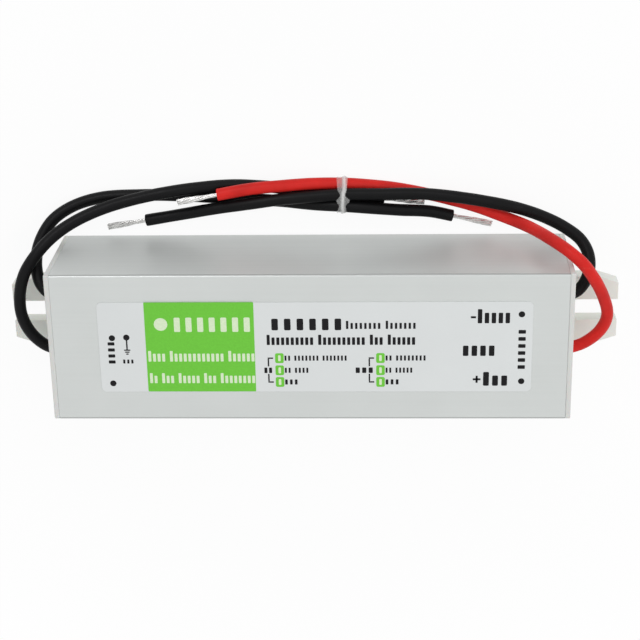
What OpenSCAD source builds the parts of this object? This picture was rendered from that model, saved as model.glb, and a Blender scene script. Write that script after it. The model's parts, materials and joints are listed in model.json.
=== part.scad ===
// LED driver: aluminium tube, forked end caps, flying leads and the circuit inside.
// Frame: origin at the middle of the mounting face, +X to the output end, +Z out of the label.

/* [Housing] */
// Length of the aluminium tube
body_l = 120; // [114:1:160]
// Width of the tube
body_w = 36.5; // [35:0.5:48]
// Height of the tube above the mounting face
body_h = 28.5; // [28:0.5:40]
// Wall of the tube
wall = 1.5; // [1.2:0.1:1.7]
// Radius of the tube's outer edges
edge_r = 0.5; // [0.3:0.1:1.5]
// Radius of the tube's inner corners
inner_r = 0.6; // [0.3:0.1:1]

/* [Board guides] */
// How far a guide rib stands out from the side wall
rib_d = 1.5; // [1:0.1:1.8]
// Thickness of a guide rib
rib_t = 1.2; // [0.8:0.1:1.6]
// Play above the board in its guides
guide_play = 0.3; // [0.1:0.05:0.5]
// Play at each long edge of the board
edge_play = 0.3; // [0.1:0.05:0.5]

/* [End caps] */
// Thickness of a cap's flange
cap_t = 1.2; // [1:0.1:3]
// Depth of the spigot inside the tube
spigot_d = 5; // [3.5:0.5:6]
// Wall of the spigot
spigot_wall = 1.4; // [1:0.1:2]
// Play between the spigot and the tube
spigot_play = 0.2; // [0.1:0.05:0.3]
// Outside diameter of the collar round a lead
collar_d = 6; // [4.5:0.5:8]
// Depth of the collar behind the flange
collar_l = 3; // [1:0.5:4]

/* [Mounting ears] */
// How far an ear stands out from its cap
ear_l = 13.2; // [10:0.1:20]
// Width of an ear
ear_w = 17.2; // [14:0.2:30]
// Thickness of an ear
ear_t = 4.5; // [2:0.1:6]
// Width of the open screw slot
slot_w = 5.2; // [3.2:0.1:6.4]
// Solid ear left between the cap and the slot
slot_root = 1.2; // [0.8:0.1:4]
// Length of the tapered corner
taper_l = 4.8; // [2:0.1:7]
// Width taken off each side by the taper
taper_w = 1.6; // [0.5:0.1:2.5]

/* [Label] */
// Length of the sticker
label_l = 101; // [60:1:110]
// Width of the sticker
label_w = 22.6; // [12:0.2:30]
// Thickness of the sticker
label_t = 0.2; // [0.1:0.05:0.4]
// Radius of the sticker's corners
label_r = 1.2; // [0.5:0.1:3]
// Shift of the sticker towards the output end
label_x = 1.2; // [-2:0.1:2]
// Shift of the sticker across the face
label_y = 0.3; // [-1:0.1:1]

/* [Leads] */
// Outside diameter of a lead
lead_d = 2.9; // [2.2:0.1:2.9]
// Height of the leads where they leave the caps
lead_z = 12; // [11.5:0.5:16]
// Distance between the two leads of one end
lead_pitch = 14; // [13.5:0.5:20]
// Play of a lead in its hole
lead_play = 0.25; // [0.15:0.05:0.5]
// Diameter of the bare conductor at the insulation
core_d = 1; // [0.8:0.1:1.4]
// Diameter of the tinned end
tip_d = 1.5; // [0.8:0.1:1.8]
// Length of the bare tip
strip_l = 10; // [5:0.5:12]
// Distance from the board's end to where a lead is soldered
land_l = 7; // [6:0.5:10]
// Gap between a soldered lead and the board
land_gap = 0.2; // [0.1:0.05:0.4]

/* [Bundle tie] */
// Width of the strip
tie_w = 2.4; // [1:0.1:4]
// Thickness of the strip
tie_t = 0.35; // [0.2:0.05:0.35]
// Play between the strip and the leads
tie_play = 0.25; // [0.2:0.05:0.25]

/* [Circuit board] */
// Height of the board's solder side above the mounting face
board_z = 6; // [5:0.1:6.2]
// Thickness of the board
board_t = 1.6; // [1:0.1:1.8]
// Gap between the board's end and a cap's spigot
board_gap = 1; // [0.5:0.1:2]
// Thickness of the insulating film
film_t = 0.4; // [0.2:0.1:0.6]
// Margin of the film inside the tube
film_margin = 1; // [0.8:0.1:3]
// Gap that the first and last components keep from the board's end and the lands
part_gap = 1.5; // [0.8:0.1:2]
// Gap between the components and the guide ribs
row_margin = 0.6; // [0.3:0.1:1.2]
// Gap between components across the board
row_gap = 1.2; // [0.8:0.1:1.6]
// Length of a component's legs above the board
leg_h = 2; // [1:0.1:2.4]
// Thickness of a component's legs
leg_t = 0.7; // [0.5:0.1:1]
// Distance between a disc component's legs
disc_pitch = 5; // [3:0.5:5.5]
// Height of a chip above the board
chip_lift = 1; // [0.5:0.1:1.5]
// Distance between a chip's legs along its side
chip_pitch = 2.4; // [1.6:0.1:2.5]

/* [Input filter] */
// Diameter of the fuse can
fuse_d = 8.4; // [6:0.2:9.6]
// Height of the fuse can
fuse_h = 8; // [6:0.5:12]
// Thickness of the varistor disc
varistor_t = 4.5; // [3:0.1:6]
// Diameter of the varistor disc
varistor_d = 10; // [7:0.5:12]
// Thickness of the film capacitor
xcap_t = 6; // [4:0.5:8]
// Length of the film capacitor
xcap_l = 13; // [10:0.5:14]
// Height of the film capacitor
xcap_h = 12; // [8:0.5:16]
// Outside diameter of the choke's ferrite ring
ring_d = 13; // [11:0.5:14]
// Hole of the choke's ferrite ring
ring_hole = 7; // [6:0.5:8]
// Height of the choke's ferrite ring
ring_h = 6; // [4:0.5:8]
// Build-up of the choke's windings
choke_wire = 1; // [0.5:0.1:1.5]

/* [Primary side] */
// Length of the bridge rectifier
bridge_l = 14.5; // [10:0.5:16]
// Thickness of the bridge rectifier
bridge_t = 3.5; // [3:0.1:4.5]
// Height of the bridge rectifier's body
bridge_h = 10; // [8:0.5:14]
// Distance between the bridge rectifier's legs
bridge_pitch = 3.5; // [2.5:0.1:4]
// Height of the rolled groove above a capacitor's seal
groove_z = 2; // [1.5:0.1:3]
// Depth of the rolled groove in a capacitor's can
groove_r = 0.6; // [0.3:0.1:0.9]
// Diameter of the input capacitor
incap_d = 12.5; // [10:0.5:13.5]
// Length of the input capacitor
incap_l = 20; // [12:0.5:21]
// Length of the controller chip
chip_l = 9.5; // [6:0.5:11]
// Width of the controller chip
chip_w = 6.4; // [4:0.2:7]
// Height of a chip's body
chip_h = 3.4; // [2:0.1:4]

/* [Transformer] */
// Depth of the ferrite core along the board
core_x = 7; // [5:0.5:9]
// Height of the ferrite core
core_z = 16; // [14:0.5:18]
// Thickness of the core's middle leg
core_leg = 4.8; // [3.6:0.2:6]
// Thickness of the core's outer legs
core_rim = 2.4; // [2:0.1:3]
// Thickness of the core's end yokes
core_yoke = 3.5; // [3:0.1:5]
// Wall of the bobbin
bobbin_t = 0.8; // [0.6:0.1:1]
// Play of the bobbin in the core
coil_play = 0.15; // [0.1:0.05:0.3]
// Build-up of the winding on the bobbin's open sides
winding_t = 3; // [2:0.1:3.5]

/* [Secondary side] */
// Thickness of the safety capacitor
ycap_t = 4; // [3:0.1:5]
// Diameter of the safety capacitor
ycap_d = 9; // [6:0.5:10]
// Length of the optocoupler
opto_l = 4.6; // [4:0.1:5]
// Width of the optocoupler
opto_w = 6.4; // [5:0.2:7]
// Diameter of an output capacitor
outcap_d = 10; // [6:0.5:10.5]
// Height of an output capacitor
outcap_h = 16; // [10:0.5:18]

/* [Heat path] */
// Thickness of the heat spreader
spreader_t = 2; // [1.5:0.1:2.5]
// Gap between the heat spreader and the tube's ceiling
spreader_gap = 2.4; // [1:0.1:4]
// Overhang of the spreader past the power devices
spreader_end = 3; // [1:0.5:6]
// Thickness of the thermal pad
pad_t = 2.2; // [2:0.1:2.4]
// Width of a power device
power_w = 10; // [8:0.2:10.4]
// Thickness of a power device's moulded body
power_t = 4.4; // [3.5:0.1:4.6]
// Height of a power device's moulded body
power_h = 9; // [7:0.2:10]
// Thickness of a power device's metal tab
tab_t = 1.3; // [0.8:0.1:1.6]
// Height of the metal tab above the body
tab_h = 5; // [4:0.2:5.6]
// Hole in the metal tab
tab_hole = 3.2; // [2:0.1:3.6]
// Distance between a power device's legs
power_pitch = 2.5; // [2:0.1:3]

/* [Hidden] */
$fn = 48;

// Cut past a face, so that a hole leaves no skin
past = 1;

// Inside of the tube
inner_w = body_w - 2 * wall;
inner_h = body_h - 2 * wall;
end_x = body_l / 2;
cap_x = end_x + cap_t;

// Board and its guides
board_w = inner_w - 2 * edge_play;
board_l = body_l - 2 * (spigot_d + board_gap);
board_top = board_z + board_t;
board_end = board_l / 2;
upper_rib_z = board_top + guide_play;
guide_top = upper_rib_z + rib_t;

// Sum of a list
function total(v) = v * [for (x = v) 1];

// Lengths along the board of what stands between the fuse and the output capacitors
choke_d = ring_d + 2 * choke_wire;
filter_l = max(varistor_t, xcap_t);
choke_l = max(choke_d, bridge_l);
coil_x = core_x + 2 * (coil_play + bobbin_t + winding_t);
isolation_l = max(ycap_t, opto_l);
middle_parts = [filter_l, choke_l, incap_l, coil_x, isolation_l];

// Places along the board: the end components keep to their ends, and the rest share the free length
fuse_x = -board_end + part_gap + fuse_d / 2;
outcap_x = board_end - land_l - part_gap - outcap_d / 2;
middle_l = outcap_x - outcap_d / 2 - fuse_x - fuse_d / 2;
free_gap = (middle_l - total(middle_parts)) / (len(middle_parts) + 1);
filter_x = fuse_x + fuse_d / 2 + free_gap + filter_l / 2;
choke_x = filter_x + filter_l / 2 + free_gap + choke_l / 2;
incap_x = choke_x + choke_l / 2 + free_gap + incap_l / 2;
core_place = incap_x + incap_l / 2 + free_gap + coil_x / 2;
isolation_x = core_place + coil_x / 2 + free_gap + isolation_l / 2;
chip_x = incap_x - incap_l / 2 + chip_l / 2;

// Heat path, stacked from the tube's wall
spreader_face = -inner_w / 2 + pad_t + spreader_t;
spreader_h = wall + inner_h - spreader_gap - board_top;
transistor_x = incap_x + incap_l / 2 - power_w / 2;
rectifier_x = isolation_x;
spreader_l = rectifier_x - transistor_x + power_w + 2 * spreader_end;
spreader_x = (rectifier_x + transistor_x) / 2;

// Places across the board, in two rows beside the guide ribs
row_y = inner_w / 2 - rib_d - row_margin;
core_y = row_y - spreader_face - row_gap;
core_y_place = row_y - core_y / 2;
x_cap_y = row_y - xcap_l / 2;
varistor_y = varistor_d / 2 - row_y;
choke_y = row_y - choke_d / 2;
bridge_y = bridge_t / 2 - row_y;
incap_y = row_y - incap_d / 2;
chip_y = incap_y - incap_d / 2 - row_gap - chip_w / 2;
ycap_y = row_y - ycap_d / 2;
opto_y = ycap_y - ycap_d / 2 - row_gap - opto_w / 2;
outcap_a_y = row_y - outcap_d / 2;
outcap_b_y = outcap_a_y - outcap_d - row_gap;

// How far a leg runs up into its component
leg_bite = 0.5;

// Windows of the transformer core
window_z = (core_z - core_leg - 2 * core_rim) / 2;
window_y = core_y - 2 * core_yoke;
core_mid_z = board_top + core_z / 2;
tube_x = core_x + 2 * (coil_play + bobbin_t);
tube_z = core_leg + 2 * (coil_play + bobbin_t);
coil_z = core_leg + 2 * (window_z - coil_play);

// Mounting slot
ear_end = cap_x + ear_l;
slot_x = cap_x + slot_root + slot_w / 2;

// Leads: soldered on the board, straight through the cap, then free along the chosen points
INPUT = -1;
OUTPUT = 1;
lead_sides = 8;
tie_x = 7.5;
// Straight stretch behind the collar, and outside the cap
root_l = 1;
exit_l = 0.3;

function lead_root(end, side) = [
    [end * (board_end - land_l), side * lead_pitch / 2, board_top + land_gap + lead_d / 2],
    [end * (end_x - collar_l - root_l), side * lead_pitch / 2, lead_z],
    [end * (cap_x + exit_l), side * lead_pitch / 2, lead_z],
];

input_a_route = concat(lead_root(INPUT, 1), [
    [-63.8, 7.7, 11.8], [-65.7, 9.8, 11.2], [-66.7, 13, 9.7], [-66.7, 16.6, 7.4], [-65.4, 20.2, 5.6],
    [-62.8, 23.7, 4], [-58, 26.6, 2.5], [-51, 28.5, 1.7], [-42, 29, 1.6], [-33, 28.9, 1.6],
    [-24, 28.4, 1.6], [-15, 28, 2], [-7.5, 27.6, 2.5], [0, 27.1, 3.5], [tie_x, 26.9, 4.5],
    [14, 26.4, 4.5], [21, 25.6, 3.7], [28.5, 24.8, 2.5], [34, 23.5, 2],
]);
input_b_route = concat(lead_root(INPUT, -1), [
    [-65, -6, 12.5], [-68.5, -2.5, 13], [-70.4, 2.5, 13.5], [-70.4, 8, 13.5], [-69, 13, 13],
    [-66, 17.5, 12], [-62, 21.4, 10], [-56.5, 24.7, 8], [-49.5, 27.3, 6], [-42, 29.2, 5],
    [-35, 30.6, 4.7], [-28, 31.3, 3.6], [-19.5, 31.5, 2], [-11, 31, 1.6], [-2, 29.9, 1.7],
    [tie_x, 28.9, 2.2], [12.5, 28.3, 1.9], [17.5, 27.8, 1.6],
]);
negative_route = concat(lead_root(OUTPUT, 1), [
    [63.6, 7.8, 11.9], [65.3, 9.8, 11.4], [66.4, 12.7, 10.1], [66.2, 15.9, 8.3], [64.5, 18.8, 6.7],
    [61, 21.4, 5.6], [56.3, 23.8, 5], [50, 26.3, 5.5], [43, 28.1, 6], [35, 29.3, 5.5], [27, 30, 5],
    [17, 30, 5], [tie_x, 30, 5.1], [0, 29.6, 5.5], [-7.5, 29, 5.7], [-15, 27.8, 5.3], [-23, 26.3, 4],
    [-32, 24.2, 2.2], [-40.5, 22.6, 1.7],
]);
positive_route = concat(lead_root(OUTPUT, -1), [
    [65.5, -5.5, 12.5], [69.1, -1.6, 14], [70.4, 3, 15.8], [68.8, 9.1, 18.4], [65.1, 16.2, 21.9],
    [62.8, 19.2, 23], [60, 21.5, 22.2], [56.2, 22.9, 17.6], [51.9, 23.3, 10.3], [46.5, 24, 4.9],
    [39, 26.1, 2.3], [30, 28.4, 1.6], [21, 30.3, 1.6], [14, 31.3, 2], [tie_x, 31.9, 2.5],
    [0, 32.2, 3.5], [-8, 32, 4.7], [-15, 31.5, 5.3], [-22.5, 30.2, 5.5],
]);
LEAD_ROUTES = [input_a_route, input_b_route, negative_route, positive_route];

// Unit vector along v
function unit(v) = v / norm(v);

// Direction of a route at its point i
function heading(route, i) = unit(route[min(i + 1, len(route) - 1)] - route[max(i - 1, 0)]);

// Points round a route at its point i
function ring(route, i, r) =
    let (
        ahead = heading(route, i),
        side = unit(cross([0, 0, 1], ahead)),
        up = cross(ahead, side)
    )
    [for (k = [0 : lead_sides - 1])
        let (turn = 360 * k / lead_sides)
        route[i] + r * (cos(turn) * side + sin(turn) * up)];

// Two triangles between rings i and i + 1, at side k
function band(i, k) =
    let (
        a = i * lead_sides + k,
        b = i * lead_sides + (k + 1) % lead_sides,
        c = b + lead_sides,
        d = a + lead_sides
    )
    [[a, d, c], [a, c, b]];

// Tube of radius r swept along a route
module sweep(route, r) {
    last = len(route) - 1;
    points = [for (i = [0 : last]) each ring(route, i, r)];
    sides = [for (i = [0 : last - 1], k = [0 : lead_sides - 1]) each band(i, k)];
    first_face = [for (k = [0 : lead_sides - 1]) k];
    last_face = [for (k = [lead_sides - 1 : -1 : 0]) last * lead_sides + k];
    polyhedron(points, concat(sides, [first_face, last_face]));
}

// Rectangle with rounded corners, about the origin
module rounded_rect(w, h, r) {
    square([w - 2 * r, h], center = true);
    square([w, h - 2 * r], center = true);
    for (sx = [-1, 1], sy = [-1, 1])
        translate([sx * (w / 2 - r), sy * (h / 2 - r)])
            circle(r);
}

// Flat outline in Y and Z, made solid along X about the origin
module along_x(l) {
    rotate([90, 0, 90])
        linear_extrude(l, center = true)
            children();
}

// Block standing on the board, centred at x and y
module block(x, y, size, lift = 0) {
    translate([x - size.x / 2, y - size.y / 2, board_top + lift])
        cube(size);
}

// Row of legs along X, from the board up to a component
module legs(x, y, count, pitch, height) {
    for (i = [0 : count - 1])
        block(x + (i - (count - 1) / 2) * pitch, y, [leg_t, leg_t, height]);
}

// Guide ribs of one side wall, as outlines in Y and Z
module guide_ribs(side) {
    for (z = [board_z - rib_t, upper_rib_z])
        translate([side * (inner_w / 2 - rib_d / 2 + wall / 4), z + rib_t / 2])
            square([rib_d + wall / 2, rib_t], center = true);
}

module housing() {
    color("gainsboro")
        along_x(body_l) {
            translate([0, body_h / 2])
                difference() {
                    rounded_rect(body_w, body_h, edge_r);
                    rounded_rect(inner_w, inner_h, inner_r);
                }
            guide_ribs(-1);
            guide_ribs(1);
        }
}

// Spigot that plugs into the tube, cut away at the guide ribs
module spigot() {
    w = inner_w - 2 * spigot_play;
    h = inner_h - 2 * spigot_play;
    notch_z = board_z - rib_t - spigot_play;
    notch_h = guide_top + spigot_play - notch_z;
    difference() {
        translate([end_x - spigot_d / 2, 0, body_h / 2])
            along_x(spigot_d)
                difference() {
                    rounded_rect(w, h, inner_r);
                    square([w - 2 * spigot_wall, h - 2 * spigot_wall], center = true);
                }
        translate([end_x - spigot_d - past, -body_w / 2, notch_z])
            cube([spigot_d + past, body_w, notch_h]);
    }
}

// Ear with its open slot, flat on the mounting face
module ear() {
    half = ear_w / 2;
    difference() {
        linear_extrude(ear_t)
            polygon([
                [end_x, -half], [ear_end - taper_l, -half], [ear_end, taper_w - half],
                [ear_end, half - taper_w], [ear_end - taper_l, half], [end_x, half],
            ]);
        translate([slot_x, 0, -past])
            cylinder(h = ear_t + 2 * past, d = slot_w);
        translate([slot_x, -slot_w / 2, -past])
            cube([ear_l, slot_w, ear_t + 2 * past]);
    }
}

// Cap of the output end: flange, spigot, lead collars and ear
module end_cap() {
    difference() {
        union() {
            translate([end_x + cap_t / 2, 0, body_h / 2])
                along_x(cap_t)
                    rounded_rect(body_w, body_h, edge_r);
            spigot();
            ear();
            for (side = [-1, 1])
                translate([end_x - collar_l, side * lead_pitch / 2, lead_z])
                    rotate([0, 90, 0])
                        cylinder(h = collar_l + cap_t / 2, d = collar_d);
        }
        for (side = [-1, 1])
            translate([end_x - collar_l - past, side * lead_pitch / 2, lead_z])
                rotate([0, 90, 0])
                    cylinder(h = collar_l + cap_t + 2 * past, d = lead_d + 2 * lead_play);
    }
}

module output_end_cap() {
    color("whitesmoke")
        end_cap();
}

module input_end_cap() {
    color("whitesmoke")
        mirror([1, 0, 0])
            end_cap();
}

module rating_label() {
    color("lightgray")
        translate([label_x, label_y, body_h])
            linear_extrude(label_t)
                rounded_rect(label_l, label_w, label_r);
}

module input_lead_a() {
    color("black")
        sweep(input_a_route, lead_d / 2);
}

module input_lead_b() {
    color("black")
        sweep(input_b_route, lead_d / 2);
}

module output_lead_negative() {
    color("black")
        sweep(negative_route, lead_d / 2);
}

module output_lead_positive() {
    color("firebrick")
        sweep(positive_route, lead_d / 2);
}

// Bare conductor past the end of a route, thicker where it is tinned
module tip(route) {
    last = len(route) - 1;
    ahead = heading(route, last);
    color("silver")
        translate(route[last])
            rotate([0, acos(ahead.z), atan2(ahead.y, ahead.x)])
                cylinder(h = strip_l, d1 = core_d, d2 = tip_d);
}

module input_tip_a() {
    tip(input_a_route);
}

module input_tip_b() {
    tip(input_b_route);
}

module output_tip_negative() {
    tip(negative_route);
}

module output_tip_positive() {
    tip(positive_route);
}

// Outline round the four leads at the tie, grown by a margin
module bundle_outline(margin) {
    hull()
        for (route = LEAD_ROUTES, p = route)
            if (p.x == tie_x)
                translate([p.y, p.z])
                    circle(lead_d / 2 + margin, $fn = 32);
}

module bundle_tie() {
    color("white")
        translate([tie_x, 0, 0])
            along_x(tie_w)
                difference() {
                    bundle_outline(tie_play + tie_t);
                    bundle_outline(tie_play);
                }
}

module circuit_board() {
    color("darkgreen")
        translate([-board_end, -board_w / 2, board_z])
            cube([board_l, board_w, board_t]);
}

module insulating_film() {
    film_w = inner_w - 2 * film_margin;
    color("ivory")
        translate([-board_end, -film_w / 2, wall])
            cube([board_l, film_w, film_t]);
}

module fuse() {
    color("saddlebrown")
        translate([fuse_x, 0, board_top])
            cylinder(h = fuse_h, d = fuse_d);
}

// Disc component standing on its legs
module disc(x, y, d, t) {
    for (side = [-1, 1])
        legs(x, y + side * disc_pitch / 2, 1, 0, leg_h + d / 4);
    translate([x, y, board_top + leg_h + d / 2])
        along_x(t)
            circle(d = d);
}

module varistor() {
    color("royalblue")
        disc(filter_x, varistor_y, varistor_d, varistor_t);
}

module x_capacitor() {
    color("gold")
        block(filter_x, x_cap_y, [xcap_t, xcap_l, xcap_h]);
}

module choke_core() {
    color("darkslategray")
        translate([choke_x, choke_y, board_top + choke_wire])
            difference() {
                cylinder(h = ring_h, d = ring_d);
                translate([0, 0, -past])
                    cylinder(h = ring_h + 2 * past, d = ring_hole);
            }
}

// Two coils on the ring, one on each half, with a gap between them
module choke_windings() {
    sweep_angle = 130;
    r_in = ring_hole / 2;
    r_out = ring_d / 2;
    color("chocolate")
        translate([choke_x, choke_y, board_top])
            for (start = [-sweep_angle / 2, 180 - sweep_angle / 2])
                rotate([0, 0, start])
                    rotate_extrude(angle = sweep_angle)
                        difference() {
                            translate([r_in - choke_wire, 0])
                                square([r_out - r_in + 2 * choke_wire, ring_h + 2 * choke_wire]);
                            translate([r_in, choke_wire])
                                square([r_out - r_in, ring_h]);
                        }
}

module bridge_rectifier() {
    color("dimgray") {
        block(choke_x, bridge_y, [bridge_l, bridge_t, bridge_h], leg_h);
        legs(choke_x, bridge_y, 4, bridge_pitch, leg_h + leg_bite);
    }
}

// Capacitor's can from its seal upwards, with a rolled groove
module can(d, h) {
    difference() {
        cylinder(h = h, d = d);
        translate([0, 0, groove_z])
            rotate_extrude()
                translate([d / 2, 0])
                    circle(groove_r, $fn = 24);
    }
}

module input_capacitor() {
    color("navy")
        translate([incap_x - incap_l / 2, incap_y, board_top + incap_d / 2])
            rotate([0, 90, 0])
                can(incap_d, incap_l);
}

// Small chip on two rows of legs
module chip(x, y, l, w, pairs) {
    block(x, y, [l, w, chip_h], chip_lift);
    for (side = [-1, 1])
        legs(x, y + side * (w / 2 - leg_t), pairs, chip_pitch, chip_lift + leg_bite);
}

module controller_chip() {
    color("black")
        chip(chip_x, chip_y, chip_l, chip_w, 4);
}

module optocoupler() {
    color("black")
        chip(isolation_x, opto_y, opto_l, opto_w, 2);
}

// Power device clamped flat to the heat spreader
module power_device(x) {
    body_y = spreader_face + power_t / 2;
    color("dimgray") {
        block(x, body_y, [power_w, power_t, power_h], leg_h);
        legs(x, body_y, 3, power_pitch, leg_h + leg_bite);
        difference() {
            block(
                x, spreader_face + tab_t / 2,
                [power_w, tab_t, tab_h + leg_bite],
                leg_h + power_h - leg_bite
            );
            translate([x, spreader_face + tab_t / 2, board_top + leg_h + power_h + tab_h / 2])
                rotate([90, 0, 0])
                    cylinder(h = 2 * tab_t, d = tab_hole, center = true);
        }
    }
}

module switch_transistor() {
    power_device(transistor_x);
}

module output_rectifier() {
    power_device(rectifier_x);
}

module heat_spreader() {
    color("silver")
        block(spreader_x, spreader_face - spreader_t / 2, [spreader_l, spreader_t, spreader_h]);
}

module thermal_pad() {
    pad_z = guide_top + guide_play;
    color("slategray")
        translate([spreader_x - spreader_l / 2, -inner_w / 2, pad_z])
            cube([spreader_l, pad_t, board_top + spreader_h - pad_z]);
}

module transformer_core() {
    color("darkslategray")
        translate([core_place, core_y_place, core_mid_z])
            difference() {
                cube([core_x, core_y, core_z], center = true);
                for (side = [-1, 1])
                    translate([0, 0, side * (core_leg + window_z) / 2])
                        cube([core_x + 2 * past, window_y, window_z], center = true);
            }
}

// Bobbin: a square tube on the middle leg, with a flange and two pins at each end
module transformer_bobbin() {
    flange_l = window_y - 2 * coil_play;
    flange_y = (flange_l - bobbin_t) / 2;
    pin_h = core_mid_z - coil_z / 2 + leg_bite - board_top;
    color("linen") {
        translate([core_place, core_y_place, core_mid_z])
            difference() {
                union() {
                    cube([tube_x, flange_l, tube_z], center = true);
                    for (side = [-1, 1])
                        translate([0, side * flange_y, 0])
                            cube([coil_x, bobbin_t, coil_z], center = true);
                }
                cube([core_x + 2 * coil_play, core_y, core_leg + 2 * coil_play], center = true);
            }
        for (side = [-1, 1])
            legs(core_place, core_y_place + side * flange_y, 2, coil_x - 2 * leg_t, pin_h);
    }
}

module transformer_winding() {
    winding_l = window_y - 2 * coil_play - 2 * bobbin_t;
    color("khaki")
        translate([core_place, core_y_place, core_mid_z])
            difference() {
                cube([coil_x, winding_l, coil_z], center = true);
                cube([tube_x, core_y, tube_z], center = true);
            }
}

module y_capacitor() {
    color("deepskyblue")
        disc(isolation_x, ycap_y, ycap_d, ycap_t);
}

// Output capacitor, upright on the board
module output_capacitor(y) {
    color("navy")
        translate([outcap_x, y, board_top])
            can(outcap_d, outcap_h);
}

module output_capacitor_a() {
    output_capacitor(outcap_a_y);
}

module output_capacitor_b() {
    output_capacitor(outcap_b_y);
}

housing();
input_end_cap();
output_end_cap();
rating_label();
input_lead_a();
input_lead_b();
output_lead_negative();
output_lead_positive();
input_tip_a();
input_tip_b();
output_tip_negative();
output_tip_positive();
bundle_tie();
circuit_board();
insulating_film();
fuse();
varistor();
x_capacitor();
choke_core();
choke_windings();
bridge_rectifier();
input_capacitor();
switch_transistor();
controller_chip();
transformer_core();
transformer_bobbin();
transformer_winding();
y_capacitor();
optocoupler();
output_rectifier();
output_capacitor_a();
output_capacitor_b();
heat_spreader();
thermal_pad();
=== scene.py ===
"""LED driver: its looks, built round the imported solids. Sizes here are in millimetres, made in metres."""

import json
import math

import bmesh
import bpy
from mathutils import Matrix, Vector, noise


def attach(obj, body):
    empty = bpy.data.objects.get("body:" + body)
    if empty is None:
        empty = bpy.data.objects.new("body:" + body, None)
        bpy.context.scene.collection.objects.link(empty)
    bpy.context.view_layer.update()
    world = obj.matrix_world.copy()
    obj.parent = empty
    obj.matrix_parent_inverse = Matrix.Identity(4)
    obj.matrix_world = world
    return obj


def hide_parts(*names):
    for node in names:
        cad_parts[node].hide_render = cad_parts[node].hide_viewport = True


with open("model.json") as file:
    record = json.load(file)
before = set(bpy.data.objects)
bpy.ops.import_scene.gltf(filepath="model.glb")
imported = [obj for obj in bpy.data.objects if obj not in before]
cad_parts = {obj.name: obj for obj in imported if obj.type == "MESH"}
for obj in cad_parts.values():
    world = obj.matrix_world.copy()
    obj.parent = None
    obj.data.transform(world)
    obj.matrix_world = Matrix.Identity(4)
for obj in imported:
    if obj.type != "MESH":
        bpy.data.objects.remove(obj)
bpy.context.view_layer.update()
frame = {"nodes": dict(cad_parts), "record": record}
NODES = frame["nodes"]
BODY = "root"
MM = 0.001


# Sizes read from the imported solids

def high_corner(node):
    """Greatest x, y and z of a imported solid, to the micrometre."""
    places = [v.co / MM for v in NODES[node].data.vertices]
    return [round(max(axis), 3) for axis in zip(*places)]


END_X, TUBE_HALF, TUBE_TOP = high_corner("housing")
STICKER_Z = high_corner("rating_label")[2]
BACK, FRONT = 1, -1
INPUT, OUTPUT = -1, 1


# Camera, fitted to the tube's edges in the photo

PHOTO_PX = 640
FOCAL_PX = 1664.81
SENSOR_MM = 36
CAMERA_AT = Vector((18.262, 152.296, 385.064)) * MM
CAMERA_RIGHT = Vector((0.99917, -0.01759, -0.03671))
CAMERA_UP = Vector((0.00244, 0.92614, -0.37717))


def make_camera():
    data = bpy.data.cameras.new("camera")
    data.sensor_width = SENSOR_MM
    data.lens = FOCAL_PX * SENSOR_MM / PHOTO_PX
    camera = bpy.data.objects.new("camera", data)
    back = CAMERA_RIGHT.cross(CAMERA_UP)
    turn = Matrix((CAMERA_RIGHT, CAMERA_UP, back)).transposed().to_4x4()
    camera.matrix_world = Matrix.Translation(CAMERA_AT) @ turn
    bpy.context.scene.collection.objects.link(camera)
    bpy.context.scene.camera = camera


# Small helpers for shapes

SMOOTH_DEG = 40


def new_piece(name, verts, faces, material, smooth_angle=SMOOTH_DEG):
    """Mesh piece in millimetres, shaded smooth up to an angle, riding on the body."""
    mesh = bpy.data.meshes.new(name)
    mesh.from_pydata([Vector(v) * MM for v in verts], [], faces)
    mesh.validate()
    return finish_piece(name, mesh, material, smooth_angle)


def finish_piece(name, mesh, material, smooth_angle=SMOOTH_DEG):
    mesh.shade_smooth()
    mesh.set_sharp_from_angle(angle=math.radians(smooth_angle))
    mesh.materials.clear()
    mesh.materials.append(material)
    piece = bpy.data.objects.new(name, mesh)
    bpy.context.scene.collection.objects.link(piece)
    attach(piece, BODY)
    return piece


def wobble(point, scale, size):
    """Smooth unevenness at a point, between plus and minus size."""
    return size * noise.noise(Vector(point) * scale)


def eased(share):
    """Share from 0 to 1 that starts and stops slowly."""
    return share * share * (3 - 2 * share)


def full_turn(count):
    """Even angles once round."""
    return [2 * math.pi * k / count for k in range(count)]


def join(parts):
    """Several lists of verts and faces as one."""
    verts, faces = [], []
    for part_verts, part_faces in parts:
        start = len(verts)
        verts += part_verts
        faces += [tuple(start + i for i in face) for face in part_faces]
    return verts, faces


# Helpers for nodes, where the owner is a material or the world

WHITE = (1, 1, 1, 1)
# Most of a noise texture's values lie between these two
NOISE_LOW, NOISE_HIGH = 0.3, 0.7
# Sockets of a mix node that blends two colours
MIX_SHARE, MIX_A, MIX_B, MIX_RESULT = 0, 6, 7, 2


def new_material(name):
    material = bpy.data.materials.new(name)
    material.use_nodes = True
    return material, material.node_tree.nodes["Principled BSDF"]


def add(owner, kind, inputs=None, **settings):
    """One node, with plain values set and sockets linked to its inputs."""
    node = owner.node_tree.nodes.new(kind)
    for key, value in settings.items():
        setattr(node, key, value)
    feed(owner, node, inputs or {})
    return node


def feed(owner, node, inputs):
    for key, value in inputs.items():
        if isinstance(value, bpy.types.NodeSocket):
            owner.node_tree.links.new(value, node.inputs[key])
        else:
            node.inputs[key].default_value = value


def rgba(colour, share=1.0):
    return (*[min(1.0, c * share) for c in colour], 1.0)


def here(material):
    """Place on the object in metres."""
    return add(material, "ShaderNodeTexCoord").outputs["Object"]


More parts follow.
